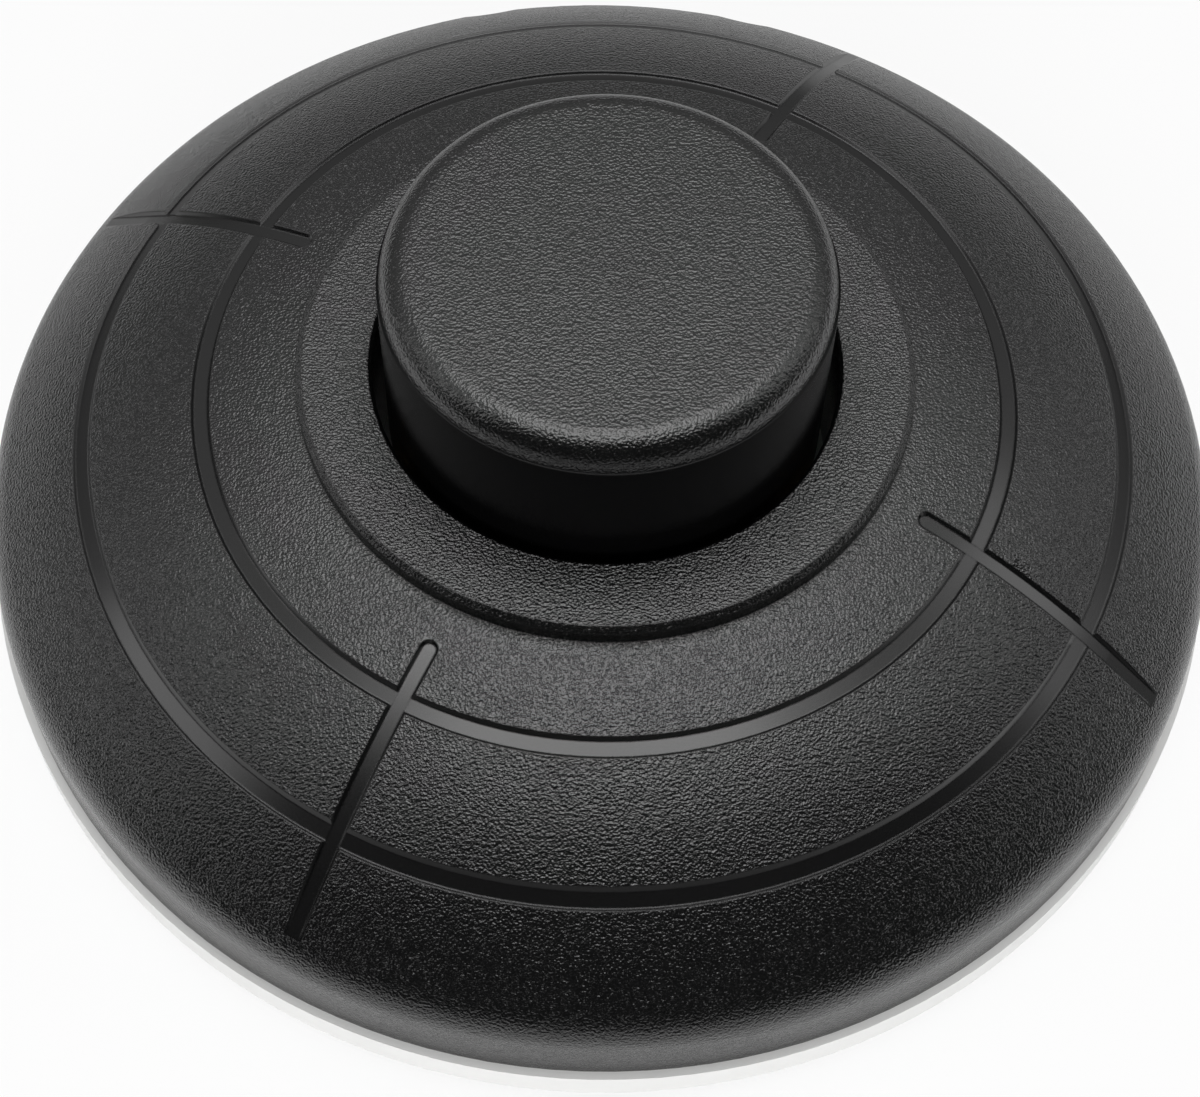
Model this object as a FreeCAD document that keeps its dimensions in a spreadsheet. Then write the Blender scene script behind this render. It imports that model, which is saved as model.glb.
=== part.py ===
"""Lamp foot switch: a round floor switch whose button steps a ratchet rotor that carries the contacts.

Millimetres, +Z up. The origin is the middle of the switch, on the floor that its rubber feet stand on.
The cord inlets are on the +Y side. Left is -X and right is +X.
"""

import FreeCAD
import Part
import Sketcher
import math
import os

SIZES = {
    # cover
    "cover_radius": 32.0,
    "cover_wall": 1.6,
    "side_height": 2.99,
    "shoulder_radius": 2.8,
    "dome_radius": 30.0,
    "dome_inset": 20.85,
    "collar_width": 3.8,
    "collar_step": 1.03,
    "collar_edge": 0.3,
    "hole_edge": 0.2,
    "guide_wall": 1.4,
    "guide_length": 6.1,
    # ring and spoke grooves of the cover
    "groove_width": 0.98,
    "groove_depth": 0.2,
    "groove_slope": 0.16,
    "groove_overcut": 0.3,
    "middle_groove_inset": 11.2,
    "outer_groove_inset": 4.87,
    "spoke_count": 4,
    "spoke_angle": 63.5,
    "spoke_gap": 1.8,
    "run_out_inset": 3.8,
    # base
    "foot_stand": 0.6,
    "base_thickness": 2.3,
    "base_overhang": 0.4,
    "base_edge": 0.4,
    "spigot_height": 2.4,
    "spigot_wall": 1.5,
    "spigot_gap": 0.15,
    # feet and housing screws, turn about on one circle
    "fastener_count": 3,
    "fastener_inset": 8.5,
    "foot_radius": 5.0,
    "foot_recess": 0.9,
    "foot_edge": 0.3,
    "foot_gap": 0.1,
    "screw_radius": 1.2,
    "screw_gap": 0.1,
    "screw_length": 7.0,
    "screw_head_radius": 2.6,
    "screw_head_height": 1.6,
    "screw_head_recess": 2.2,
    "screw_boss_radius": 3.2,
    "screw_boss_height": 2.0,
    "pilot_depth": 5.4,
    "slot_width": 0.7,
    "slot_depth": 0.7,
    # button
    "button_radius": 11.0,
    "button_gap": 0.6,
    "button_rise": 8.13,
    "button_edge": 1.5,
    "button_ledge": 0.1,
    "button_top_wall": 1.7,
    "button_wall": 1.5,
    "button_travel": 4.5,
    "ear_width": 4.0,
    "ear_height": 2.0,
    "ear_reach": 1.6,
    "ear_gap": 0.3,
    "ear_stop_gap": 0.1,
    # ratchet
    "tooth_count": 8,
    "tooth_height": 5.0,
    "tooth_gap": 0.25,
    "tooth_lag": 1.0,
    "tooth_overcut": 0.4,
    "tooth_ring_inner": 5.4,
    "tooth_ring_outer": 8.0,
    "rotor_radius": 8.9,
    "rotor_thickness": 1.8,
    "rotor_hub_radius": 3.0,
    "rotor_seat_gap": 0.05,
    "axle_radius": 1.5,
    "axle_fit": 0.05,
    "axle_seat": 1.4,
    "axle_above": 1.4,
    "chamber_gap": 0.3,
    "chamber_wall": 1.2,
    "chamber_depth": 3.4,
    # return spring
    "washer_radius": 4.8,
    "washer_thickness": 0.5,
    "spring_radius": 3.9,
    "spring_wire_radius": 0.4,
    "spring_turns": 4,
    "spring_gap": 0.02,
    # contacts
    "contact_circle": 7.0,
    "strip_width": 4.0,
    "strip_thickness": 0.6,
    "strip_overlap": 2.0,
    "strip_gap": 0.2,
    "tip_radius": 1.3,
    "tip_height": 0.28,
    "tip_edge": 0.2,
    "contact_gap": 0.07,
    "bridge_thickness": 0.4,
    "bridge_ring_radius": 4.6,
    "bridge_arm_width": 3.0,
    "bridge_arm_reach": 8.3,
    "bridge_fit": 0.05,
    # terminals; the places are shares of the room between the button guide and the cover
    "terminal_gap": 2.1,
    "terminal_width": 6.0,
    "terminal_depth": 7.0,
    "terminal_height": 5.8,
    "neutral_place": 0.19,
    "neutral_width": 13.0,
    "neutral_depth": 4.8,
    "neutral_height": 5.4,
    "neutral_screw_spacing": 7.2,
    "core_hole_radius": 1.5,
    "terminal_screw_radius": 1.25,
    "terminal_screw_fit": 0.05,
    "terminal_screw_length": 2.6,
    "terminal_head_radius": 2.2,
    "terminal_head_height": 1.4,
    "cradle_wall": 0.9,
    "cradle_gap": 0.15,
    "cradle_height": 1.1,
    # cord inlets and clamps
    "inlet_radius": 2.6,
    "inlet_wall": 1.5,
    "inlet_rise": 2.8,
    "inlet_length": 6.8,
    "inlet_gap": 0.3,
    "cord_radius": 2.4,
    "cord_relief": 0.25,
    "clamp_place": 0.475,
    "clamp_depth": 2.8,
    "clamp_half_width": 7.1,
    "clamp_gap": 0.3,
    "clamp_thickness": 1.3,
    "clamp_screw_margin": 1.5,
    "clamp_screw_radius": 0.9,
    "clamp_screw_length": 3.8,
    "clamp_head_radius": 1.4,
    "clamp_head_height": 1.0,
    # how far cutting shapes run past the faces that they cut
    "overcut": 1.0,
}

FULL_TURN = 360.0
LEFT, RIGHT = -1, 1
LEAST_CUT = 1e-6
# inside the cover, this many straight flanks follow the dome's line
INNER_FLANKS = 3


class Size:
    """A length with its value and the sheet expression that gives it."""

    def __init__(self, value, text):
        self.value = value
        self.text = text

    def _with(self, other, sign, value):
        return Size(value, f"({self.text} {sign} {size(other).text})")

    def __add__(self, other):
        return self._with(other, "+", self.value + size(other).value)

    def __sub__(self, other):
        return self._with(other, "-", self.value - size(other).value)

    def __mul__(self, other):
        return self._with(other, "*", self.value * size(other).value)

    def __truediv__(self, other):
        return self._with(other, "/", self.value / size(other).value)

    def __neg__(self):
        return size(0) - self


def size(number):
    return number if isinstance(number, Size) else Size(number, repr(number))


def root(length):
    return Size(math.sqrt(length.value), f"sqrt({length.text})")


def arcsine(share):
    return Size(math.degrees(math.asin(share.value)), f"asin({share.text})")


def polar(radius, degrees):
    """The point at a radius and an angle from +X."""
    angle = size(degrees)
    turn = math.radians(angle.value)
    x = Size(radius.value * math.cos(turn), f"({radius.text} * cos({angle.text}))")
    y = Size(radius.value * math.sin(turn), f"({radius.text} * sin({angle.text}))")
    return x, y


doc = FreeCAD.newDocument("lamp_foot_switch")
sheet = doc.addObject("Spreadsheet::Sheet", "sizes")
for row, (name, number) in enumerate(SIZES.items(), start=1):
    sheet.set(f"A{row}", name)
    sheet.set(f"B{row}", str(number))
    sheet.setAlias(f"B{row}", name)
doc.recompute()


class Sheet:
    """The sheet's cells as sizes, read by their alias."""

    def __getattr__(self, name):
        return Size(float(getattr(sheet, name)), f"sizes.{name}")


d = Sheet()
ZERO = size(0)
nodes = []


# Helpers: sketches


def origin_feature(body, role):
    return next(f for f in body.Origin.OriginFeatures if f.Role == role)


def new_body(label):
    body = doc.addObject("PartDesign::Body", label)
    body.Label = label
    return body


def sketch_on(body, role, name, offset=None):
    """A sketch on one of the body's own planes, moved along the plane's normal by offset."""
    sketch = body.newObject("Sketcher::SketchObject", name)
    sketch.AttachmentSupport = [(origin_feature(body, role), "")]
    sketch.MapMode = "FlatFace"
    if offset is not None:
        sketch.AttachmentOffset = FreeCAD.Placement(
            FreeCAD.Vector(0, 0, offset.value), FreeCAD.Rotation()
        )
        sketch.setExpression("AttachmentOffset.Base.z", offset.text)
    return sketch


def sketch_across(body, name, x, z, tilt):
    """A sketch whose middle is at x and z of the body, across a line that dips by tilt towards +X."""
    sketch = body.newObject("Sketcher::SketchObject", name)
    sketch.AttachmentSupport = [(origin_feature(body, "YZ_Plane"), "")]
    sketch.MapMode = "FlatFace"
    rotation = FreeCAD.Rotation(FreeCAD.Vector(1, 0, 0), tilt.value)
    sketch.AttachmentOffset = FreeCAD.Placement(FreeCAD.Vector(0, z.value, x.value), rotation)
    sketch.setExpression("AttachmentOffset.Base.y", z.text)
    sketch.setExpression("AttachmentOffset.Base.z", x.text)
    sketch.setExpression("AttachmentOffset.Rotation.Angle", tilt.text)
    return sketch


def bind(sketch, length, kind, *where):
    index = sketch.addConstraint(Sketcher.Constraint(kind, *where, length.value))
    sketch.setExpression(f"Constraints[{index}]", length.text)


def place(sketch, edge, end, x, y):
    """Fixes one end of an edge, or a centre, at a point of the sketch."""
    on_axis = {"DistanceX": -2, "DistanceY": -1}
    for kind, length in (("DistanceX", x), ("DistanceY", y)):
        if length is ZERO:
            axis = on_axis[kind]
            sketch.addConstraint(Sketcher.Constraint("PointOnObject", edge, end, axis))
        else:
            bind(sketch, length, kind, -1, 1, edge, end)


def add_arc(sketch, start, stop, radius):
    """An arc from start to stop with its middle on the left."""
    half = (stop - start) * 0.5
    left = FreeCAD.Vector(-half.y, half.x, 0).normalize()
    centre = start + half + left * math.sqrt(radius.value**2 - half.Length**2)
    angles = [math.atan2(p.y - centre.y, p.x - centre.x) for p in (start, stop)]
    circle = Part.Circle(centre, FreeCAD.Vector(0, 0, 1), radius.value)
    edge = sketch.addGeometry(Part.ArcOfCircle(circle, *angles), False)
    bind(sketch, radius, "Radius", edge)


def outline(sketch, corners, bulges=None):
    """A closed outline, anticlockwise. bulges gives the radius of each edge that is an arc."""
    bulges = bulges or {}
    first = sketch.GeometryCount
    points = [FreeCAD.Vector(x.value, y.value, 0) for x, y in corners]
    count = len(points)
    for index, start in enumerate(points):
        stop = points[(index + 1) % count]
        if index in bulges:
            add_arc(sketch, start, stop, bulges[index])
        else:
            sketch.addGeometry(Part.LineSegment(start, stop), False)
    for index in range(count):
        following = first + (index + 1) % count
        sketch.addConstraint(Sketcher.Constraint("Coincident", first + index, 2, following, 1))
    for index, (x, y) in enumerate(corners):
        place(sketch, first + index, 1, x, y)


def rectangle(sketch, low_x, low_y, high_x, high_y):
    outline(sketch, [(low_x, low_y), (high_x, low_y), (high_x, high_y), (low_x, high_y)])


def circle(sketch, x, y, radius):
    middle = FreeCAD.Vector(x.value, y.value, 0)
    edge = sketch.addGeometry(Part.Circle(middle, FreeCAD.Vector(0, 0, 1), radius.value), False)
    bind(sketch, radius, "Radius", edge)
    place(sketch, edge, 3, x, y)


# Helpers: features


def revolve(body, name, corners, bulges=None, kind="Revolution"):
    """Turns an outline of radius and height about the body's Z axis; kind Groove cuts it away."""
    sketch = sketch_on(body, "XZ_Plane", f"{name}_profile")
    outline(sketch, corners, bulges)
    return turn_sketch(body, name, sketch, "V_Axis", size(FULL_TURN), kind)


def turn_sketch(body, name, sketch, axis, angle, kind="Revolution"):
    feature = body.newObject(f"PartDesign::{kind}", name)
    feature.Profile = sketch
    feature.ReferenceAxis = (sketch, [axis])
    feature.Angle = angle.value
    feature.setExpression("Angle", angle.text)
    return feature


def extrude(body, name, sketch, length, kind, reverse=False):
    feature = body.newObject(f"PartDesign::{kind}", name)
    feature.Profile = sketch
    feature.Length = length.value
    feature.setExpression("Length", length.text)
    feature.Reversed = reverse
    return feature


def pad_up(body, name, sketch, height):
    return extrude(body, name, sketch, height, "Pad")


def cut_up(body, name, sketch, height):
    return extrude(body, name, sketch, height, "Pocket", reverse=True)


def cut_down(body, name, sketch, depth):
    return extrude(body, name, sketch, depth, "Pocket")


def add_helix(body, name, sketch, kind, pitch, height):
    """Sweeps a section along a right-handed helix about the body's Z axis."""
    doc.recompute()
    feature = body.newObject(f"PartDesign::{kind}", name)
    feature.Profile = sketch
    feature.ReferenceAxis = (sketch, ["V_Axis"])
    feature.Mode = "pitch-height-angle"
    feature.HasBeenEdited = True
    feature.setExpression("Pitch", pitch.text)
    feature.setExpression("Height", height.text)
    return feature


def cut_teeth(body, name, low):
    """Cuts the spaces between the saw teeth of a ring; low is the cutter's lower edge where it starts."""
    sketch = sketch_on(body, "XZ_Plane", f"{name}_profile")
    inner = d.tooth_ring_inner - d.tooth_overcut
    outer = d.tooth_ring_outer + d.tooth_overcut
    rectangle(sketch, inner, low, outer, low + d.tooth_height)
    pitch = d.tooth_height * d.tooth_count
    feature = add_helix(body, name, sketch, "SubtractiveHelix", pitch, d.tooth_height)
    repeat(body, f"{name}_ring", [feature], d.tooth_count)


def repeat(body, name, features, count):
    """Repeats features evenly round the body's Z axis."""
    doc.recompute()
    pattern = body.newObject("PartDesign::PolarPattern", name)
    pattern.Originals = features
    pattern.Axis = (origin_feature(body, "Z_Axis"), [""])
    pattern.Angle = FULL_TURN
    pattern.Occurrences = int(count.value)
    pattern.setExpression("Occurrences", count.text)
    body.Tip = pattern


def mirror(body, name, features):
    """Repeats features on the other side of the YZ plane."""
    doc.recompute()
    copy = body.newObject("PartDesign::Mirrored", name)
    copy.Originals = features
    copy.MirrorPlane = (origin_feature(body, "YZ_Plane"), [""])
    body.Tip = copy


def move(thing, x=ZERO, y=ZERO, z=ZERO, turn=ZERO):
    """Places a body: turned about Z, anticlockwise from above, then moved."""
    rotation = FreeCAD.Rotation(FreeCAD.Vector(0, 0, 1), turn.value)
    thing.Placement = FreeCAD.Placement(FreeCAD.Vector(x.value, y.value, z.value), rotation)
    for axis, length in zip("xyz", (x, y, z)):
        if length is not ZERO:
            thing.setExpression(f"Placement.Base.{axis}", length.text)
    if turn is not ZERO:
        thing.setExpression("Placement.Rotation.Angle", turn.text)
    return thing


def join(kind, label, **links):
    thing = doc.addObject(kind, label)
    thing.Label = label
    for link, value in links.items():
        setattr(thing, link, value)
    return thing


def group(label, things):
    nodes.append(join("Part::Compound", label, Links=things))


# Levels and radii that several pieces share

rim = d.foot_stand + d.base_thickness
shoulder_centre = d.cover_radius - d.shoulder_radius
shoulder_level = rim + d.side_height
dome_offset = d.cover_radius - d.dome_inset
dome_to_shoulder = d.dome_radius - d.shoulder_radius
shoulder_reach = d.dome_inset - d.shoulder_radius
dome_centre = shoulder_level - root(dome_to_shoulder * dome_to_shoulder - shoulder_reach * shoulder_reach)
hole_radius = d.button_radius + d.button_gap
guide_outer = hole_radius + d.guide_wall
collar_radius = hole_radius + d.collar_width
inner_radius = d.cover_radius - d.cover_wall
fastener_circle = d.cover_radius - d.fastener_inset
inlet_inner_end = d.cover_radius - d.inlet_length
inlet_offset = d.clamp_half_width + d.clamp_gap
clamp_screw_reach = d.clamp_half_width - d.clamp_screw_margin
room_width = inner_radius - guide_outer
terminal_offset = guide_outer + d.terminal_gap + d.terminal_width / 2
neutral_offset = guide_outer + room_width * d.neutral_place
clamp_offset = guide_outer + room_width * d.clamp_place


def crown_radius(inset):
    """Where the dome meets the shoulder, on a surface that lies inset below the cover's outside."""
    return shoulder_centre + (d.shoulder_radius - inset) * shoulder_reach / dome_to_shoulder


def dome_height(radius, inset=ZERO):
    arc = d.dome_radius - inset
    reach = radius - dome_offset
    return dome_centre + root(arc * arc - reach * reach)


def dome_tilt(radius):
    """How far the dome leans out from level at a radius, in degrees."""
    return arcsine((radius - dome_offset) / d.dome_radius)


collar_top = dome_height(collar_radius) + d.collar_step
ear_stop = dome_height(guide_outer, d.cover_wall)
guide_bottom = ear_stop - d.guide_length
inlet_height = rim + d.inlet_rise
strip_top = rim + d.strip_thickness
bridge_bottom = strip_top + d.tip_height + d.contact_gap + d.tip_height
rotor_bottom = bridge_bottom + d.bridge_thickness
rotor_top = rotor_bottom + d.rotor_thickness
button_teeth = rotor_top + d.tooth_gap + d.button_travel
button_top = collar_top + d.button_rise
button_ceiling = button_top - d.button_top_wall
screw_seat = d.foot_stand + d.screw_head_recess
boss_bottom = rim + d.screw_boss_height
tooth_pitch = size(FULL_TURN) / d.tooth_count
rotor_rest_turn = size(FULL_TURN) - d.button_travel / d.tooth_height * tooth_pitch - d.tooth_lag


# Cover: a domed shell with a collar round the button hole


def cover_outside():
    """The solid dome with its collar and the two ring grooves."""
    body = new_body("cover_outside")
    crown = crown_radius(ZERO)
    revolve(
        body,
        "dome",
        [
            (ZERO, rim),
            (d.cover_radius, rim),
            (d.cover_radius, shoulder_level),
            (crown, dome_height(crown)),
            (collar_radius, dome_height(collar_radius)),
            (collar_radius, collar_top - d.collar_edge),
            (collar_radius - d.collar_edge, collar_top),
            (ZERO, collar_top),
        ],
        bulges={2: d.shoulder_radius, 3: d.dome_radius},
    )
    cut_ring_groove(body, "middle_groove", d.cover_radius - d.middle_groove_inset)
    cut_ring_groove(body, "outer_groove", d.cover_radius - d.outer_groove_inset)
    return body


def cut_ring_groove(body, name, outer):
    """Cuts a ring groove with sloping sides, which run on past the dome's face."""
    inner = outer - d.groove_width
    floor_inner, floor_outer = inner + d.groove_slope, outer - d.groove_slope
    low_inner = dome_height(floor_inner) - d.groove_depth
    low_outer = dome_height(floor_outer) - d.groove_depth
    corners = [
        (floor_inner, low_inner),
        (floor_outer, low_outer),
        (outer + d.groove_slope, dome_height(outer) * 2 - low_outer),
        (inner - d.groove_slope, dome_height(inner) * 2 - low_inner),
    ]
    revolve(body, name, corners, kind="Groove")


def cover_inside():
    """The hollow of the cover: its room, less the button guide, screw bosses and inlet tubes."""
    body = new_body("cover_inside")
    crown = crown_radius(d.cover_wall)
    flare = hole_radius + d.hole_edge
    room_bottom = rim - d.overcut * 2
    flanks = []
    for step in range(INNER_FLANKS + 1):
        radius = crown - (crown - hole_radius) * step / INNER_FLANKS
        flanks.append((radius, dome_height(radius, d.cover_wall)))
    revolve(
        body,
        "room",
        [
            (ZERO, room_bottom),
            (inner_radius, room_bottom),
            (inner_radius, shoulder_level),
            *flanks,
            (hole_radius, collar_top - d.hole_edge),
            (flare, collar_top),
            (flare, collar_top + d.overcut),
            (ZERO, collar_top + d.overcut),
        ],
    )
    guide = sketch_on(body, "XY_Plane", "guide_plan", guide_bottom)
    circle(guide, ZERO, ZERO, guide_outer)
    circle(guide, ZERO, ZERO, hole_radius)
    cut_up(body, "guide", guide, collar_top - d.hole_edge - guide_bottom)

    slots = sketch_on(body, "XY_Plane", "ear_slot_plan", guide_bottom)
    half_slot = d.ear_width / 2 + d.ear_gap
    rectangle(slots, -half_slot, -guide_outer, half_slot, guide_outer)
    pad_up(body, "ear_slots", slots, ear_stop - guide_bottom)

    boss = sketch_on(body, "XY_Plane", "boss_plan", boss_bottom)
    circle(boss, ZERO, -fastener_circle, d.screw_boss_radius)
    bosses = cut_up(body, "boss", boss, collar_top - boss_bottom)
    pilot = sketch_on(body, "XY_Plane", "pilot_plan", boss_bottom - d.overcut)
    circle(pilot, ZERO, -fastener_circle, d.screw_radius + d.screw_gap)
    pilots = pad_up(body, "pilot", pilot, d.pilot_depth + d.overcut)
    repeat(body, "bosses", [bosses, pilots], d.fastener_count)

    tube = sketch_on(body, "XZ_Plane", "inlet_tube_section", -inlet_inner_end)
    circle(tube, inlet_offset, inlet_height, d.inlet_radius + d.inlet_wall)
    tubes = cut_down(body, "inlet_tube", tube, d.cover_radius - inlet_inner_end)
    bore = sketch_on(body, "XZ_Plane", "inlet_bore_section", -(inlet_inner_end - d.overcut))
    circle(bore, inlet_offset, inlet_height, d.inlet_radius)
    reach = d.cover_radius - inlet_inner_end + d.overcut * 2
    bores = extrude(body, "inlet_bore", bore, reach, "Pad", reverse=True)
    mirror(body, "inlets", [tubes, bores])
    return body


def spoke_grooves():
    """The spoke grooves, which follow the dome from a round end and then run out straight."""
    body = new_body("spoke_grooves")
    floor = d.dome_radius - d.groove_depth
    top = d.dome_radius + d.groove_overcut
    half_floor = d.groove_width / 2 - d.groove_slope
    half_top = half_floor + d.groove_slope / d.groove_depth * (top - floor)
    section = [(-half_floor, floor), (half_floor, floor), (half_top, top), (-half_top, top)]
    half_section = [(ZERO, floor), (half_floor, floor), (half_top, top), (ZERO, top)]
    start = dome_tilt(collar_radius + d.spoke_gap + d.groove_width / 2)
    bend = dome_tilt(d.cover_radius - d.run_out_inset)
    end = sketch_across(body, "round_end_section", dome_offset, dome_centre, start)
    outline(end, half_section)
    round_end = turn_sketch(body, "round_end", end, "V_Axis", size(FULL_TURN))
    along = sketch_across(body, "run_section", dome_offset, dome_centre, start)
    outline(along, section)
    run = turn_sketch(body, "run", along, "H_Axis", bend - start)
    out = sketch_across(body, "run_out_section", dome_offset, dome_centre, bend)
    outline(out, section)
    run_out = pad_up(body, "run_out", out, root(d.dome_radius * d.dome_radius - floor * floor) + d.overcut)
    repeat(body, "spokes", [round_end, run, run_out], d.spoke_count)
    return move(body, turn=d.spoke_angle)


def top_cover():
    tools = join("Part::MultiFuse", "cover_cuts", Shapes=[cover_inside(), spoke_grooves()])
    nodes.append(join("Part::Cut", "top_cover", Base=cover_outside(), Tool=tools))


# Base: a round plate with the rotor chamber, cradles and cord saddles moulded on it


def base_plate():
    body = new_body("base_plate")
    base_radius = d.cover_radius + d.base_overhang
    spigot_outer = inner_radius - d.spigot_gap
    spigot_inner = spigot_outer - d.spigot_wall
    chamber_inner = d.rotor_radius + d.chamber_gap
    chamber_outer = chamber_inner + d.chamber_wall
    revolve(
        body,
        "plate",
        [
            (ZERO, d.foot_stand),
            (base_radius - d.base_edge, d.foot_stand),
            (base_radius, d.foot_stand + d.base_edge),
            (base_radius, rim),
            (spigot_outer, rim),
            (spigot_outer, rim + d.spigot_height),
            (spigot_inner, rim + d.spigot_height),
            (spigot_inner, rim),
            (chamber_outer, rim),
            (chamber_outer, rim + d.chamber_depth),
            (chamber_inner, rim + d.chamber_depth),
            (chamber_inner, rim),
            (d.axle_radius, rim),
            (d.axle_radius, rim - d.axle_seat),
            (ZERO, rim - d.axle_seat),
        ],
    )
    add_cradles(body)
    add_saddles(body)
    cut_inlet_notches(body)
    add_fastener_seats(body)
    nodes.append(body)


def add_cradles(body):
    """Low frames that hold the terminal blocks, and the channels for the contact strips."""
    inside = d.cradle_gap
    outside = d.cradle_gap + d.cradle_wall
    live = sketch_on(body, "XY_Plane", "cradle_plan", rim)
    neutral = sketch_on(body, "XY_Plane", "neutral_cradle_plan", rim)
    for extra in (inside, outside):
        half_x = d.terminal_width / 2 + extra
        half_y = d.terminal_depth / 2 + extra
        rectangle(live, terminal_offset - half_x, -half_y, terminal_offset + half_x, half_y)
        half_x = d.neutral_width / 2 + extra
        half_y = d.neutral_depth / 2 + extra
        rectangle(neutral, -half_x, neutral_offset - half_y, half_x, neutral_offset + half_y)
    cradle = pad_up(body, "cradle", live, d.cradle_height)
    mirror(body, "cradles", [cradle])
    pad_up(body, "neutral_cradle", neutral, d.cradle_height)
    channel = sketch_on(body, "XY_Plane", "channel_plan", rim)
    half = d.strip_width / 2 + d.strip_gap
    rectangle(channel, -terminal_offset, -half, terminal_offset, half)
    cut_up(body, "channels", channel, d.strip_thickness + d.strip_gap)


def add_saddles(body):
    """Two saddles under the cords, each with pilot holes for its clamp's screws."""
    front = clamp_offset - d.clamp_depth / 2
    block = sketch_on(body, "XZ_Plane", "saddle_section", -front)
    low_x, high_x = inlet_offset - d.clamp_half_width, inlet_offset + d.clamp_half_width
    rectangle(block, low_x, rim, high_x, inlet_height)
    saddle = extrude(body, "saddle", block, d.clamp_depth, "Pad", reverse=True)
    hollow = sketch_on(body, "XZ_Plane", "saddle_hollow_section", d.cord_relief - front)
    circle(hollow, inlet_offset, inlet_height, d.cord_radius)
    hollow_cut = cut_down(body, "saddle_hollow", hollow, d.clamp_depth + d.cord_relief * 2)
    pilot = sketch_on(body, "XY_Plane", "clamp_pilot_plan", inlet_height)
    for side in (LEFT, RIGHT):
        x = inlet_offset + clamp_screw_reach * side
        circle(pilot, x, clamp_offset, d.clamp_screw_radius + d.screw_gap)
    pilot_depth = d.clamp_screw_length - d.clamp_thickness + d.screw_gap
    pilots = cut_down(body, "clamp_pilots", pilot, pilot_depth)
    mirror(body, "saddles", [saddle, hollow_cut, pilots])


def cut_inlet_notches(body):
    """Gaps in the spigot ring for the cover's inlet tubes."""
    plan = sketch_on(body, "XY_Plane", "notch_plan", rim)
    half = d.inlet_radius + d.inlet_wall + d.inlet_gap
    front = inlet_inner_end - d.inlet_gap
    rectangle(plan, inlet_offset - half, front, inlet_offset + half, d.cover_radius)
    notch = cut_up(body, "notch", plan, d.spigot_height)
    mirror(body, "notches", [notch])


def add_fastener_seats(body):
    """Bosses, holes and head recesses for the housing screws, and the feet's recesses between them."""
    circle_y = -fastener_circle
    boss = sketch_on(body, "XY_Plane", "screw_boss_plan", rim)
    circle(boss, ZERO, circle_y, d.screw_boss_radius)
    boss_pad = pad_up(body, "screw_boss", boss, d.screw_boss_height)
    recess = sketch_on(body, "XY_Plane", "head_recess_plan", d.foot_stand)
    circle(recess, ZERO, circle_y, d.screw_head_radius + d.screw_gap)
    recess_cut = cut_up(body, "head_recess", recess, d.screw_head_recess)
    hole = sketch_on(body, "XY_Plane", "screw_hole_plan", d.foot_stand)
    circle(hole, ZERO, circle_y, d.screw_radius + d.screw_gap)
    hole_cut = cut_up(body, "screw_hole", hole, d.base_thickness + d.screw_boss_height)
    foot = sketch_on(body, "XY_Plane", "foot_recess_plan", d.foot_stand)
    circle(foot, ZERO, fastener_circle, d.foot_radius + d.foot_gap)
    foot_cut = cut_up(body, "foot_recess", foot, d.foot_recess)
    repeat(body, "fastener_seats", [boss_pad, recess_cut, hole_cut, foot_cut], d.fastener_count)


def fastener_angle(index, first):
    return size(FULL_TURN * index) / d.fastener_count + first


def rubber_feet():
    first_angle = 90.0
    foot_height = d.foot_stand + d.foot_recess
    for index in range(int(d.fastener_count.value)):
        body = new_body(f"rubber_foot_{index + 1}")
        revolve(
            body,
            "pad",
            [
                (ZERO, ZERO),
                (d.foot_radius - d.foot_edge, ZERO),
                (d.foot_radius, d.foot_edge),
                (d.foot_radius, foot_height),
                (ZERO, foot_height),
            ],
        )
        move(body, *polar(fastener_circle, fastener_angle(index, first_angle)))
        nodes.append(body)


# Screws


def slotted_screw(label, radius, length, head_radius, head_height, spots, head_up):
    """A group of slotted screws, each with its head's underside at its spot."""
    screws = []
    for index, (x, y, z) in enumerate(spots, start=1):
        body = new_body(f"{label}_{index}")
        revolve(
            body,
            "turned",
            [
                (ZERO, -length),
                (radius, -length),
                (radius, ZERO),
                (head_radius, ZERO),
                (head_radius, head_height),
                (ZERO, head_height),
            ],
        )
        slot = sketch_on(body, "XY_Plane", "slot_plan", head_height)
        half_slot = d.slot_width / 2
        rectangle(slot, -head_radius, -half_slot, head_radius, half_slot)
        cut_down(body, "slot", slot, d.slot_depth)
        move(body, x, y, z)
        if not head_up:
            body.Placement.Rotation = FreeCAD.Rotation(FreeCAD.Vector(1, 0, 0), FULL_TURN / 2)
        screws.append(body)
    group(label, screws)


def housing_screws():
    first_angle = -90.0
    spots = []
    for index in range(int(d.fastener_count.value)):
        x, y = polar(fastener_circle, fastener_angle(index, first_angle))
        spots.append((x, y, screw_seat))
    slotted_screw(
        "housing_screws",
        d.screw_radius,
        d.screw_length,
        d.screw_head_radius,
        d.screw_head_height,
        spots,
        head_up=False,
    )


# Button and ratchet


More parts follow.
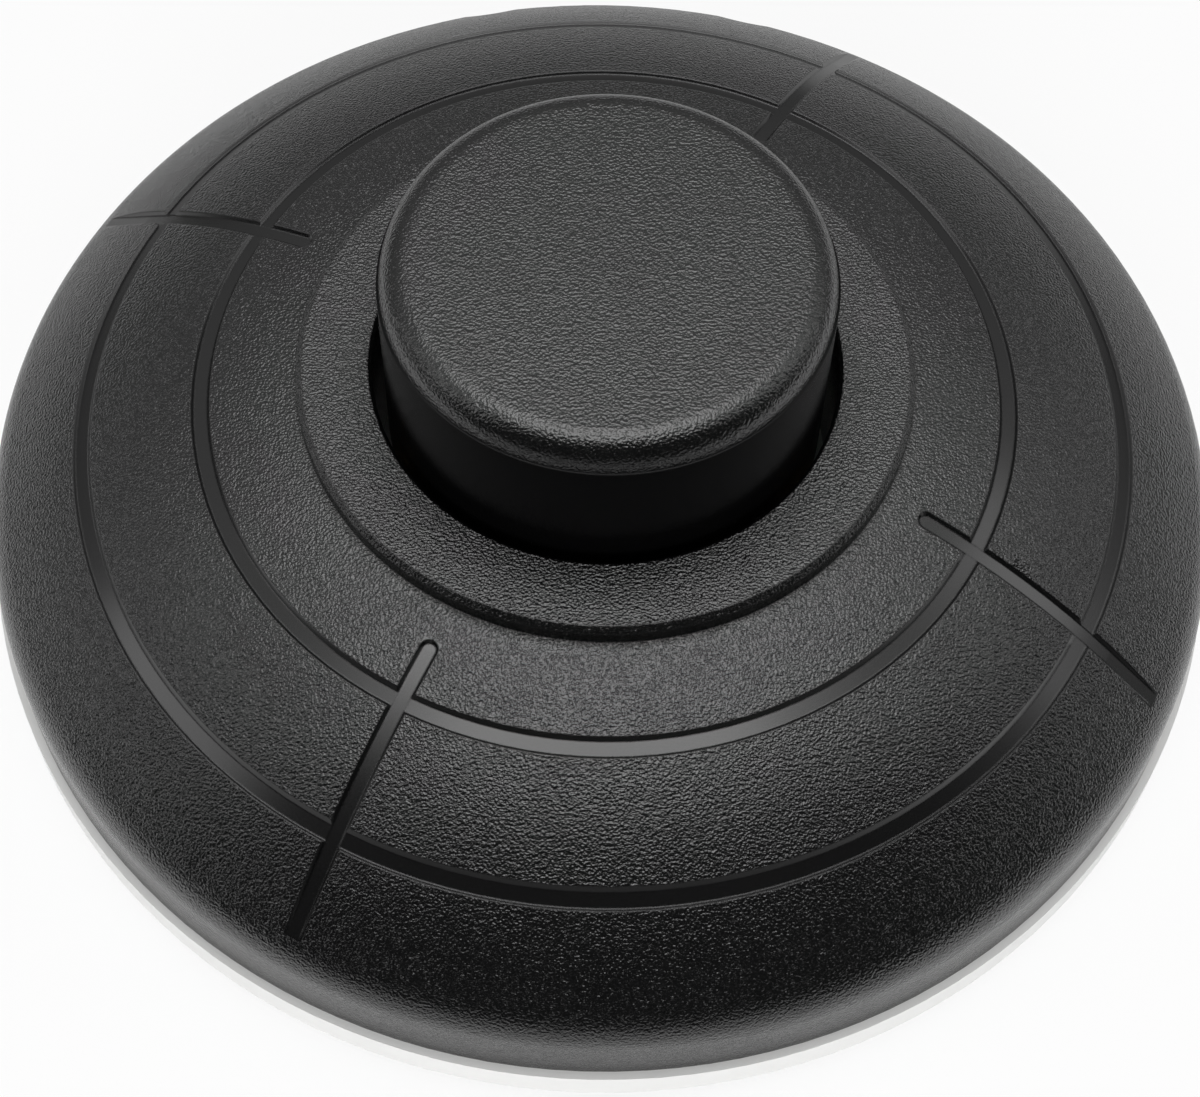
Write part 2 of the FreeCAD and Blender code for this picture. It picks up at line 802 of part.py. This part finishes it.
def push_button():
    """A hollow cap with guide ears on its skirt and saw teeth under its hub."""
    body = new_body("push_button")
    cap_radius = d.button_radius - d.button_ledge
    skirt_inner = d.button_radius - d.button_wall
    ear_top = ear_stop - d.ear_stop_gap
    skirt_bottom = ear_top - d.ear_height
    revolve(
        body,
        "cap",
        [
            (skirt_inner, skirt_bottom),
            (d.button_radius, skirt_bottom),
            (d.button_radius, button_top - d.button_edge),
            (cap_radius, button_top - d.button_edge),
            (cap_radius - d.button_edge, button_top),
            (ZERO, button_top),
            (ZERO, button_ceiling),
            (d.tooth_ring_inner, button_ceiling),
            (d.tooth_ring_inner, button_teeth),
            (d.tooth_ring_outer, button_teeth),
            (d.tooth_ring_outer, button_ceiling),
            (skirt_inner, button_ceiling),
        ],
        bulges={3: d.button_edge},
    )
    ear = sketch_on(body, "XY_Plane", "ear_plan", skirt_bottom)
    half_ear = d.ear_width / 2
    ear_start = d.button_radius - d.button_wall / 2
    rectangle(ear, -half_ear, ear_start, half_ear, d.button_radius + d.ear_reach)
    ear_pad = pad_up(body, "ear", ear, d.ear_height)
    repeat(body, "ears", [ear_pad], size(2))
    cut_teeth(body, "teeth", button_teeth - d.tooth_height)
    nodes.append(body)


def ratchet_rotor():
    """A disc on a hub, with a ring of saw teeth on top; it rests one press away from full mesh."""
    body = new_body("ratchet_rotor")
    bore = d.axle_radius + d.axle_fit
    tooth_tips = rotor_top + d.tooth_height
    revolve(
        body,
        "disc",
        [
            (bore, rim + d.rotor_seat_gap),
            (d.rotor_hub_radius, rim + d.rotor_seat_gap),
            (d.rotor_hub_radius, rotor_bottom),
            (d.rotor_radius, rotor_bottom),
            (d.rotor_radius, rotor_top),
            (d.tooth_ring_outer, rotor_top),
            (d.tooth_ring_outer, tooth_tips),
            (d.tooth_ring_inner, tooth_tips),
            (d.tooth_ring_inner, rotor_top),
            (bore, rotor_top),
        ],
    )
    cut_teeth(body, "teeth", rotor_top)
    move(body, turn=rotor_rest_turn)
    nodes.append(body)


def rotor_axle():
    body = new_body("rotor_axle")
    low, high = rim - d.axle_seat, rotor_top + d.axle_above
    revolve(body, "pin", [(ZERO, low), (d.axle_radius, low), (d.axle_radius, high), (ZERO, high)])
    nodes.append(body)


def spring_washer():
    body = new_body("spring_washer")
    inner = d.axle_radius + d.axle_fit * 2
    top = rotor_top + d.washer_thickness
    ring = [(inner, rotor_top), (d.washer_radius, rotor_top), (d.washer_radius, top), (inner, top)]
    revolve(body, "ring", ring)
    nodes.append(body)


def return_spring():
    """A coil spring between the washer and the button, wound from six-sided wire."""
    body = new_body("return_spring")
    sides = 6
    corner_turn = FULL_TURN / sides
    wire_half = d.spring_wire_radius * math.cos(math.radians(corner_turn / 2))
    low = rotor_top + d.washer_thickness + d.spring_gap + wire_half
    high = button_ceiling - d.spring_gap - wire_half
    section = sketch_on(body, "XZ_Plane", "wire_section")
    corners = []
    for index in range(sides):
        x, z = polar(d.spring_wire_radius, corner_turn * index)
        corners.append((d.spring_radius + x, low + z))
    outline(section, corners)
    add_helix(body, "coil", section, "AdditiveHelix", (high - low) / d.spring_turns, high - low)
    nodes.append(body)


# Contacts


def contact_tip(label, angle, low):
    """A rounded contact disc that stands on low; the bridge's tips are made the same, under its arms."""
    body = new_body(label)
    top = low + d.tip_height
    revolve(
        body,
        "tip",
        [
            (ZERO, low),
            (d.tip_radius, low),
            (d.tip_radius, top - d.tip_edge),
            (d.tip_radius - d.tip_edge, top),
            (ZERO, top),
        ],
    )
    return move(body, *polar(d.contact_circle, angle))


def contact_bridge():
    """A four-armed plate under the rotor, with a tip under each arm; it rests between the fixed tips."""
    body = new_body("contact_bridge")
    rest_angle = 45.0
    arms = 4
    plate = sketch_on(body, "XY_Plane", "ring_plan", bridge_bottom)
    circle(plate, ZERO, ZERO, d.bridge_ring_radius)
    circle(plate, ZERO, ZERO, d.rotor_hub_radius + d.bridge_fit)
    pad_up(body, "ring", plate, d.bridge_thickness)
    arm = sketch_on(body, "XY_Plane", "arm_plan", bridge_bottom)
    half_arm = d.bridge_arm_width / 2
    arm_start = (d.rotor_hub_radius + d.bridge_ring_radius) / 2
    rectangle(arm, arm_start, -half_arm, d.bridge_arm_reach, half_arm)
    arm_pad = pad_up(body, "arm", arm, d.bridge_thickness)
    repeat(body, "arms", [arm_pad], size(arms))
    move(body, turn=size(rest_angle))
    nodes.append(body)
    tips = []
    for index in range(arms):
        angle = rest_angle + index * FULL_TURN / arms
        tips.append(contact_tip(f"bridge_tip_{index + 1}", angle, bridge_bottom - d.tip_height))
    group("bridge_tips", tips)


def fixed_contact(side_name, angle):
    """A flat strip from the rotor chamber to the terminal block, with a tip on its inner end."""
    body = new_body(f"contact_strip_{side_name}")
    plan = sketch_on(body, "XY_Plane", "strip_plan", rim)
    inner_end = d.contact_circle - d.strip_width / 2
    outer_end = terminal_offset + d.strip_overlap
    half = d.strip_width / 2
    rectangle(plan, inner_end, -half, outer_end, half)
    pad_up(body, "strip", plan, d.strip_thickness)
    move(body, turn=size(angle))
    nodes.append(body)
    nodes.append(contact_tip(f"contact_tip_{side_name}", angle, strip_top))


# Terminals


def terminal(label, width, depth, height, middle, low, screw_spots, core_along_x):
    """A brass block with a hole for the cores and a hole for each screw."""
    body = new_body(label)
    plan = sketch_on(body, "XY_Plane", "block_plan", low)
    middle_x, middle_y = middle
    low_x, low_y = middle_x - width / 2, middle_y - depth / 2
    rectangle(plan, low_x, low_y, low_x + width, low_y + depth)
    pad_up(body, "block", plan, height)
    core_height = low + height / 2
    if core_along_x:
        core = sketch_on(body, "YZ_Plane", "core_section", low_x + width + d.overcut)
        circle(core, middle_y, core_height, d.core_hole_radius)
        cut_down(body, "core_hole", core, width + d.overcut * 2)
    else:
        core = sketch_on(body, "XZ_Plane", "core_section", -(low_y - d.overcut))
        circle(core, middle_x, core_height, d.core_hole_radius)
        cut_down(body, "core_hole", core, depth + d.overcut * 2)
    holes = sketch_on(body, "XY_Plane", "screw_plan", low + height)
    for x, y in screw_spots:
        circle(holes, x, y, d.terminal_screw_radius + d.terminal_screw_fit)
    cut_down(body, "screw_holes", holes, height / 2)
    nodes.append(body)
    return [(x, y, low + height) for x, y in screw_spots]


def terminals():
    spots = []
    for side_name, side in (("left", LEFT), ("right", RIGHT)):
        middle = (terminal_offset * side, ZERO)
        spots += terminal(
            f"terminal_{side_name}",
            d.terminal_width,
            d.terminal_depth,
            d.terminal_height,
            middle,
            strip_top,
            [middle],
            core_along_x=False,
        )
    half_spacing = d.neutral_screw_spacing / 2
    spots += terminal(
        "terminal_neutral",
        d.neutral_width,
        d.neutral_depth,
        d.neutral_height,
        (ZERO, neutral_offset),
        rim,
        [(half_spacing * side, neutral_offset) for side in (LEFT, RIGHT)],
        core_along_x=True,
    )
    slotted_screw(
        "terminal_screws",
        d.terminal_screw_radius,
        d.terminal_screw_length,
        d.terminal_head_radius,
        d.terminal_head_height,
        spots,
        head_up=True,
    )


# Cord clamps


def cord_clamps():
    """An arched bar over each cord, screwed down on the base's saddle."""
    arch_radius = d.cord_radius + d.clamp_thickness
    arch_foot = root(arch_radius * arch_radius - d.clamp_thickness * d.clamp_thickness)
    spots = []
    for side_name, side in (("left", LEFT), ("right", RIGHT)):
        body = new_body(f"cord_clamp_{side_name}")
        section = sketch_on(body, "XZ_Plane", "clamp_section", -d.clamp_depth / 2)
        outline(
            section,
            [
                (-d.clamp_half_width, ZERO),
                (d.clamp_half_width, ZERO),
                (d.clamp_half_width, d.clamp_thickness),
                (arch_foot, d.clamp_thickness),
                (-arch_foot, d.clamp_thickness),
                (-d.clamp_half_width, d.clamp_thickness),
            ],
            bulges={3: arch_radius},
        )
        extrude(body, "bar", section, d.clamp_depth, "Pad")
        hollow = sketch_on(body, "XZ_Plane", "hollow_section", -d.clamp_depth)
        circle(hollow, ZERO, ZERO, d.cord_radius)
        extrude(body, "hollow", hollow, d.clamp_depth * 2, "Pocket", reverse=True)
        holes = sketch_on(body, "XY_Plane", "screw_plan", d.clamp_thickness)
        for end in (LEFT, RIGHT):
            x = clamp_screw_reach * end
            circle(holes, x, ZERO, d.clamp_screw_radius + d.screw_gap)
            spots.append((inlet_offset * side + x, clamp_offset, inlet_height + d.clamp_thickness))
        cut_down(body, "screw_holes", holes, d.clamp_thickness)
        move(body, inlet_offset * side, clamp_offset, inlet_height)
        nodes.append(body)
    slotted_screw(
        "clamp_screws",
        d.clamp_screw_radius,
        d.clamp_screw_length,
        d.clamp_head_radius,
        d.clamp_head_height,
        spots,
        head_up=True,
    )


# The switch


def build():
    top_cover()
    base_plate()
    rubber_feet()
    housing_screws()
    push_button()
    ratchet_rotor()
    rotor_axle()
    spring_washer()
    return_spring()
    contact_bridge()
    fixed_contact("left", FULL_TURN / 2)
    fixed_contact("right", 0.0)
    terminals()
    cord_clamps()
    doc.recompute()


def check():
    """Stops if a feature failed, a cut removed nothing or a piece isn't made of valid solids."""
    cuts = ("PartDesign::Pocket", "PartDesign::Groove", "PartDesign::SubtractiveHelix")
    for thing in doc.Objects:
        if "Invalid" in thing.State or "Error" in thing.State:
            raise RuntimeError(f"{thing.Label} failed: {thing.State}")
        if thing.TypeId in cuts and thing.BaseFeature.Shape.Volume - thing.Shape.Volume < LEAST_CUT:
            raise RuntimeError(f"{thing.Label} cuts nothing")
    for thing in nodes:
        pieces = len(thing.Links) if thing.TypeId == "Part::Compound" else 1
        if not thing.Shape.isValid() or len(thing.Shape.Solids) != pieces:
            raise RuntimeError(f"{thing.Label} is not {pieces} valid solids")


def write():
    os.makedirs("parts", exist_ok=True)
    for thing in nodes:
        thing.Shape.exportStep(f"parts/{thing.Label}.step")


build()
check()
write()
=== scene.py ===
"""Looks of the lamp foot switch: materials, the return spring, studio light and the photo's camera.

Metres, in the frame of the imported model: +Z up from the floor, the cord inlets on the +Y side.
"""

import math

import bmesh
import bpy
from mathutils import Matrix, Vector

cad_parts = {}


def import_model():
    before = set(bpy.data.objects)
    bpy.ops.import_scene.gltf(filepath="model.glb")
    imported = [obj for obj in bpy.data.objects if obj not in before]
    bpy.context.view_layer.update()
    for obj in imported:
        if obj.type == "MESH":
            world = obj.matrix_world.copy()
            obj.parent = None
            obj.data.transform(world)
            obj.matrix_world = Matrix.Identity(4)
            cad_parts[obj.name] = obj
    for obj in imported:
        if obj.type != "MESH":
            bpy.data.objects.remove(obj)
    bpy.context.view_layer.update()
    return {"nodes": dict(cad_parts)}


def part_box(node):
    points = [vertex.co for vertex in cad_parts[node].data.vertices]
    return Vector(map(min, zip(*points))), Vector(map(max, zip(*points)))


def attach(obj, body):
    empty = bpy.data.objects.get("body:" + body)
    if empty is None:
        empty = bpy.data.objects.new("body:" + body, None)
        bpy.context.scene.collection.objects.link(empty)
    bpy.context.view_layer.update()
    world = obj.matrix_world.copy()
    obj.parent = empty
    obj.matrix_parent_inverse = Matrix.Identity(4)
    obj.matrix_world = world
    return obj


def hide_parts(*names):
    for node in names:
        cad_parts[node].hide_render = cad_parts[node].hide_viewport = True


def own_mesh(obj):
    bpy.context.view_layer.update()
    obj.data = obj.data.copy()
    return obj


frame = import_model()
nodes = frame["nodes"]

MM = 0.001

# The camera, read from the photo's round edges, with its distance and drop in cover radii
COVER_RADIUS = 32 * MM
FOOT_STAND = 0.6 * MM
CAMERA_ELEVATION = math.radians(59.43)
CAMERA_ROLL = math.radians(1.822)
CAMERA_DISTANCE = 4.3
CAMERA_DROP = 0.0445
PHOTO_WIDTH = 1200
FOCAL_PIXELS = 2502

# Where the black plastic is smooth: in the cover's grooves and on the button's wall below its cap
GROOVE_WIDTH = 0.98 * MM
RING_OUTER_RADII = (20.8 * MM, 27.13 * MM)
SPOKE_ANGLE = math.radians(63.5)
SPOKE_START = 17.2 * MM
SPOKE_END = 31.0 * MM
CAP_FOOT = 22.91 * MM

# The black plastic's grain and gloss, and its colour in the grain's hollows and on its peaks: painted
# shade in the hollows and a painted highlight on the peaks
GRAIN_SIZE = 0.13 * MM
COVER_GRAIN_DEPTH = 0.07 * MM
BUTTON_GRAIN_DEPTH = 0.05 * MM
EDGE_SOFTNESS = 0.12 * MM
BLACK_GLOSS = 0.95
BUTTON_WALL_GLOSS = 0.2
SHADED_HOLLOW_BLACK = (0.0008, 0.0008, 0.0009)
LIT_PEAK_BLACK = (0.0028, 0.0028, 0.0029)

# The return spring's wire
SPRING_RADIUS = 3.9 * MM
SPRING_WIRE_RADIUS = 0.4 * MM
SPRING_ACTIVE_TURNS = 4
SPRING_CLOSED_PITCH = 0.85 * MM
SPRING_STEPS_PER_TURN = 48
SPRING_WIRE_SIDES = 12

# The floor: how far it reaches, its share of plain white for the camera and in gloss,
# and how strong that white is in gloss in front of the switch and behind it
FLOOR_HALF_WIDTH = 1.5
FLOOR_WHITE_SHARE = 0.85
FLOOR_FRONT_STRENGTH = 0.05
FLOOR_BACK_STRENGTH = 0.6

# The room's light: its strength low down and high up, and the share of it in front
ROOM_LOW_STRENGTH = 0.1
ROOM_HIGH_STRENGTH = 0.38
ROOM_FRONT_SHARE = 0.1


# Node helpers


class Nodes:
    """A material's node tree, with short calls that add a node and link its inputs."""

    def __init__(self, tree):
        self.tree = tree
        tree.nodes.clear()

    def add(self, kind, settings=None, **inputs):
        node = self.tree.nodes.new(kind)
        for name, value in (settings or {}).items():
            setattr(node, name, value)
        for name, value in inputs.items():
            self.put(node, name.replace("_", " "), value)
        return node

    def put(self, node, name, value):
        socket = node.inputs[int(name)] if name.isdigit() else node.inputs[name]
        if isinstance(value, bpy.types.NodeSocket):
            self.tree.links.new(value, socket)
        else:
            socket.default_value = value

    def math(self, operation, *values):
        node = self.add("ShaderNodeMath", {"operation": operation})
        for index, value in enumerate(values):
            self.put(node, str(index), value)
        return node.outputs[0]

    def ramp(self, value, low, high, start=0.0, end=1.0):
        """value from start to end, mapped to low to high."""
        node = self.add("ShaderNodeMapRange", {"clamp": True})
        for index, number in enumerate((value, start, end, low, high)):
            self.put(node, str(index), number)
        return node.outputs[0]

    def tint(self, share, first, second):
        """A colour between two colours."""
        node = self.add("ShaderNodeMix", {"data_type": "RGBA"})
        self.put(node, "0", share)
        self.put(node, "6", (*first, 1.0))
        self.put(node, "7", (*second, 1.0))
        return node.outputs[2]

    def noise(self, size, detail=2.0, where=None):
        """A noise whose blobs are about size across."""
        where = where or self.place()
        return self.add("ShaderNodeTexNoise", Vector=where, Scale=1.0 / size, Detail=detail).outputs[0]

    def place(self):
        return self.add("ShaderNodeTexCoord").outputs["Object"]

    def bump(self, height, depth, normal=None):
        node = self.add("ShaderNodeBump", Height=height, Distance=depth)
        if normal is not None:
            self.put(node, "Normal", normal)
        return node.outputs[0]

    def surface(self, **inputs):
        shader = self.add("ShaderNodeBsdfPrincipled", **inputs)
        self.add("ShaderNodeOutputMaterial", Surface=shader.outputs[0])


def new_material(name):
    material = bpy.data.materials.new(name)
    material.use_nodes = True
    return material, Nodes(material.node_tree)


def paint(material, *names):
    for name in names:
        mesh = nodes[name].data
        mesh.materials.clear()
        mesh.materials.append(material)


# Materials


def plan_place(tree):
    """A point's X, its Y and its distance from the switch's axis."""
    place = tree.add("ShaderNodeSeparateXYZ", Vector=tree.place()).outputs
    x, y = place["X"], place["Y"]
    squares = [tree.math("MULTIPLY", value, value) for value in (x, y)]
    radius = tree.math("SQRT", tree.math("ADD", *squares))
    return x, y, radius


def ring_mask(tree):
    """1 in the plan of the ring grooves, 0 elsewhere."""
    radius = plan_place(tree)[2]
    half = GROOVE_WIDTH / 2
    masks = [tree.math("COMPARE", radius, outer - half, half) for outer in RING_OUTER_RADII]
    return tree.math("MAXIMUM", *masks)


def spoke_mask(tree):
    """1 in the plan of the spoke grooves, 0 elsewhere."""
    x, y, radius = plan_place(tree)
    along, across = math.cos(SPOKE_ANGLE), math.sin(SPOKE_ANGLE)
    u = tree.math("ADD", tree.math("MULTIPLY", x, along), tree.math("MULTIPLY", y, across))
    v = tree.math("SUBTRACT", tree.math("MULTIPLY", y, along), tree.math("MULTIPLY", x, across))
    aside = tree.math("MINIMUM", tree.math("ABSOLUTE", u), tree.math("ABSOLUTE", v))
    middle, half_length = (SPOKE_START + SPOKE_END) / 2, (SPOKE_END - SPOKE_START) / 2
    reach = tree.math("COMPARE", radius, middle, half_length)
    return tree.math("MULTIPLY", tree.math("LESS_THAN", aside, GROOVE_WIDTH / 2), reach)


def groove_mask(tree):
    """1 in the plan of all the grooves, 0 elsewhere."""
    return tree.math("MAXIMUM", ring_mask(tree), spoke_mask(tree))


def wall_mask(tree):
    """1 on the button's wall, 0 on its cap."""
    height = tree.add("ShaderNodeSeparateXYZ", Vector=tree.place()).outputs["Z"]
    return tree.math("LESS_THAN", height, CAP_FOOT)


def black_plastic(name, grain_depth, smooth_mask, smooth_gloss=BLACK_GLOSS):
    """Black plastic with a fine moulded grain and soft edges, smooth where the mask is 1."""
    material, tree = new_material(name)
    smooth = smooth_mask(tree)
    grained = tree.math("SUBTRACT", 1.0, smooth)
    grain = tree.noise(GRAIN_SIZE, detail=1.0)
    soft_edges = tree.add("ShaderNodeBevel", {"samples": 4}, Radius=EDGE_SOFTNESS).outputs[0]
    relief = tree.math("MULTIPLY", tree.math("SUBTRACT", grain, 0.5), grained)
    cloud = tree.noise(9 * MM)
    gloss = BLACK_GLOSS
    if smooth_gloss != BLACK_GLOSS:
        gloss = tree.ramp(smooth, BLACK_GLOSS, smooth_gloss)
    tree.surface(
        # Painted shade and highlight: the same noise as the grain's bump makes its hollows darker and
        # its peaks lighter
        Base_Color=tree.tint(grain, SHADED_HOLLOW_BLACK, LIT_PEAK_BLACK),
        Roughness=tree.ramp(cloud, 0.22, 0.26),
        Specular_IOR_Level=gloss,
        Normal=tree.bump(relief, grain_depth, soft_edges),
    )
    return material


def pale_plastic(name, light, dark):
    """Plain moulded plastic with a faint unevenness."""
    material, tree = new_material(name)
    cloud = tree.noise(6 * MM)
    fine = tree.noise(0.25 * MM)
    tree.surface(
        Base_Color=tree.tint(cloud, dark, light),
        Roughness=tree.ramp(fine, 0.38, 0.5),
        Normal=tree.bump(fine, 0.006 * MM),
    )
    return material


def rubber():
    material, tree = new_material("foot_rubber")
    fine = tree.noise(0.3 * MM, detail=4.0)
    tree.surface(
        Base_Color=tree.tint(fine, (0.012, 0.012, 0.012), (0.03, 0.03, 0.03)),
        Roughness=tree.ramp(fine, 0.7, 0.9),
        Normal=tree.bump(fine, 0.03 * MM),
    )
    return material


def metal(name, light, dark, low_rough, high_rough, stretch):
    """Worked metal, whose fine marks are drawn out along one axis by stretch."""
    material, tree = new_material(name)
    stretched = tree.add("ShaderNodeMapping", Vector=tree.place(), Scale=stretch).outputs[0]
    marks = tree.noise(0.2 * MM, detail=4.0, where=stretched)
    cloud = tree.noise(3 * MM)
    tree.surface(
        Base_Color=tree.tint(cloud, dark, light),
        Metallic=1.0,
        Roughness=tree.ramp(marks, low_rough, high_rough, 0.3, 0.7),
        Normal=tree.bump(marks, 0.004 * MM),
    )
    return material


def paint_nodes():
    paint(black_plastic("cover_plastic", COVER_GRAIN_DEPTH, groove_mask), "top_cover")
    button = black_plastic("button_plastic", BUTTON_GRAIN_DEPTH, wall_mask, BUTTON_WALL_GLOSS)
    paint(button, "push_button")
    base = pale_plastic("base_plastic", light=(0.8, 0.8, 0.79), dark=(0.76, 0.76, 0.75))
    paint(base, "base_plate", "cord_clamp_left", "cord_clamp_right")
    rotor = pale_plastic("rotor_plastic", light=(0.82, 0.8, 0.73), dark=(0.76, 0.74, 0.67))
    paint(rotor, "ratchet_rotor")
    paint(rubber(), "rubber_foot_1", "rubber_foot_2", "rubber_foot_3")
    along_z, round_z = (1.0, 1.0, 0.1), (1.0, 1.0, 6.0)
    steel = metal("screw_steel", (0.62, 0.62, 0.64), (0.5, 0.5, 0.52), 0.2, 0.38, round_z)
    paint(steel, "housing_screws", "terminal_screws", "clamp_screws", "rotor_axle", "spring_washer")
    brass = metal("brass", (0.78, 0.57, 0.26), (0.66, 0.46, 0.2), 0.22, 0.4, along_z)
    paint(brass, "terminal_left", "terminal_right", "terminal_neutral")
    paint(brass, "contact_bridge", "contact_strip_left", "contact_strip_right")
    tips = metal("tip_metal", (0.85, 0.84, 0.82), (0.74, 0.73, 0.71), 0.15, 0.3, round_z)
    paint(tips, "bridge_tips", "contact_tip_left", "contact_tip_right")


# The return spring: round wire with closed ends, in place of the plain coil


def spring_line(low, high):
    """Points along the wire's middle, from the lower closed turn to the upper one."""
    total_turns = SPRING_ACTIVE_TURNS + 2
    active_rise = high - low - 2 * SPRING_CLOSED_PITCH
    points = []
    for step in range(total_turns * SPRING_STEPS_PER_TURN + 1):
        turn = step / SPRING_STEPS_PER_TURN
        closed = min(turn, 1.0) + max(turn - 1.0 - SPRING_ACTIVE_TURNS, 0.0)
        active = min(max(turn - 1.0, 0.0), SPRING_ACTIVE_TURNS) / SPRING_ACTIVE_TURNS
        angle = 2 * math.pi * turn
        height = low + closed * SPRING_CLOSED_PITCH + active * active_rise
        x, y = SPRING_RADIUS * math.cos(angle), SPRING_RADIUS * math.sin(angle)
        points.append(Vector((x, y, height)))
    return points


def return_spring():
    bottom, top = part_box("return_spring")
    line = spring_line(bottom.z + SPRING_WIRE_RADIUS, top.z - SPRING_WIRE_RADIUS)
    mesh = bmesh.new()
    rings = []
    for point in line:
        outward = Vector((point.x, point.y, 0.0)).normalized()
        ring = []
        for side in range(SPRING_WIRE_SIDES):
            angle = 2 * math.pi * side / SPRING_WIRE_SIDES
            offset = outward * math.cos(angle) + Vector((0, 0, math.sin(angle)))
            ring.append(mesh.verts.new(point + offset * SPRING_WIRE_RADIUS))
        rings.append(ring)
    for ring, following in zip(rings, rings[1:]):
        for side in range(SPRING_WIRE_SIDES):
            other = (side + 1) % SPRING_WIRE_SIDES
            mesh.faces.new((ring[side], ring[other], following[other], following[side]))
    mesh.faces.new(rings[0])
    mesh.faces.new(reversed(rings[-1]))
    bmesh.ops.recalc_face_normals(mesh, faces=mesh.faces)
    data = bpy.data.meshes.new("wound_spring")
    mesh.to_mesh(data)
    mesh.free()
    data.shade_smooth()
    spring = bpy.data.objects.new("wound_spring", data)
    bpy.context.scene.collection.objects.link(spring)
    steel = metal("spring_steel", (0.5, 0.5, 0.52), (0.38, 0.38, 0.4), 0.2, 0.35, (1.0, 1.0, 1.0))
    data.materials.append(steel)
    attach(spring, "housing")
    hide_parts("return_spring")
    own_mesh(spring)


# Stage, light and camera


def floor():
    """A wide white floor with a faint shadow, which fades in front and behind when seen in gloss."""
    half = FLOOR_HALF_WIDTH
    corners = [(-half, -half, 0), (half, -half, 0), (half, half, 0), (-half, half, 0)]
    mesh = bpy.data.meshes.new("floor")
    mesh.from_pydata(corners, [], [(0, 1, 2, 3)])
    thing = bpy.data.objects.new("floor", mesh)
    bpy.context.scene.collection.objects.link(thing)
    material, tree = new_material("floor_paper")
    paper = tree.add("ShaderNodeBsdfDiffuse", Color=(0.9, 0.9, 0.9, 1.0))
    path = tree.add("ShaderNodeLightPath").outputs
    straight = path["Is Camera Ray"]
    gloss = tree.math("MAXIMUM", path["Is Glossy Ray"], path["Is Transmission Ray"])
    depth = tree.add("ShaderNodeSeparateXYZ", Vector=tree.place()).outputs["Y"]
    front_fade = tree.ramp(depth, FLOOR_FRONT_STRENGTH, 1.0, -0.07, -0.03)
    back_fade = tree.ramp(depth, 1.0, FLOOR_BACK_STRENGTH, 0.0, 0.06)
    fade = tree.math("MULTIPLY", front_fade, back_fade)
    white = tree.add("ShaderNodeEmission", Strength=tree.math("MAXIMUM", straight, fade))
    share = tree.math("MULTIPLY", tree.math("MAXIMUM", straight, gloss), FLOOR_WHITE_SHARE)
    mixed = tree.add("ShaderNodeMixShader")
    for index, value in enumerate((share, paper.outputs[0], white.outputs[0])):
        tree.put(mixed, str(index), value)
    tree.add("ShaderNodeOutputMaterial", Surface=mixed.outputs[0])
    mesh.materials.append(material)


def world():
    """A grey room behind and beside the switch, dark in front, which the camera sees as white."""
    room = bpy.data.worlds.new("studio")
    room.use_nodes = True
    tree = Nodes(room.node_tree)
    direction = tree.add("ShaderNodeTexCoord").outputs["Generated"]
    way = tree.add("ShaderNodeSeparateXYZ", Vector=direction).outputs
    level = tree.ramp(way["Z"], ROOM_LOW_STRENGTH, ROOM_HIGH_STRENGTH, 0.0, 0.6)
    front_fade = tree.ramp(way["Y"], ROOM_FRONT_SHARE, 1.0, -0.3, 0.2)
    light = tree.math("MULTIPLY", level, front_fade)
    straight = tree.add("ShaderNodeLightPath").outputs["Is Camera Ray"]
    background = tree.add("ShaderNodeBackground", Strength=tree.math("MAXIMUM", light, straight))
    tree.put(background, "Color", (1.0, 1.0, 1.0, 1.0))
    tree.add("ShaderNodeOutputWorld", Surface=background.outputs[0])
    bpy.context.scene.world = room


def softbox(name, elevation, azimuth, distance, width, height, radiance, in_gloss=True):
    """A flat lamp aimed at the switch; azimuth 0 is behind it, and 90 on its right."""
    lamp = bpy.data.lights.new(name, "AREA")
    lamp.shape = "RECTANGLE"
    lamp.size, lamp.size_y = width, height
    lamp.energy = radiance * math.pi * width * height
    thing = bpy.data.objects.new(name, lamp)
    bpy.context.scene.collection.objects.link(thing)
    up, turn = math.radians(elevation), math.radians(azimuth)
    way = Vector((math.sin(turn) * math.cos(up), math.cos(turn) * math.cos(up), math.sin(up)))
    thing.location = way * distance
    thing.rotation_euler = (-way).to_track_quat("-Z", "Y").to_euler()
    thing.visible_glossy = in_gloss


def camera():
    lens = bpy.data.cameras.new("photo_camera")
    lens.sensor_fit = "HORIZONTAL"
    lens.lens = lens.sensor_width * FOCAL_PIXELS / PHOTO_WIDTH
    lens.clip_start = 0.01
    thing = bpy.data.objects.new("photo_camera", lens)
    bpy.context.scene.collection.objects.link(thing)
    level = Vector((1, 0, 0))
    rise = Vector((0, math.sin(CAMERA_ELEVATION), math.cos(CAMERA_ELEVATION)))
    back = level.cross(rise)
    right = level * math.cos(CAMERA_ROLL) + rise * math.sin(CAMERA_ROLL)
    up = back.cross(right)
    turn = Matrix((right, up, back)).transposed().to_4x4()
    place = (back * CAMERA_DISTANCE - rise * CAMERA_DROP) * COVER_RADIUS + Vector((0, 0, FOOT_STAND))
    thing.matrix_world = Matrix.Translation(place) @ turn
    bpy.context.scene.camera = thing


paint_nodes()
return_spring()
floor()
world()
softbox("top_light", elevation=85, azimuth=0, distance=0.55, width=0.36, height=0.4, radiance=2.2)
softbox("wide_top_light", elevation=87, azimuth=0, distance=0.6, width=0.6, height=0.54, radiance=0.75)
softbox("left_light", elevation=36, azimuth=-98, distance=0.6, width=0.28, height=0.28, radiance=1.3)
softbox("right_light", elevation=39, azimuth=78, distance=0.6, width=0.3, height=0.26, radiance=1.1)
softbox(
    "front_fill", elevation=20, azimuth=180, distance=0.6, width=0.5, height=0.3, radiance=5.5,
    in_gloss=False,
)
camera()
bpy.context.scene.view_settings.view_transform = "Standard"
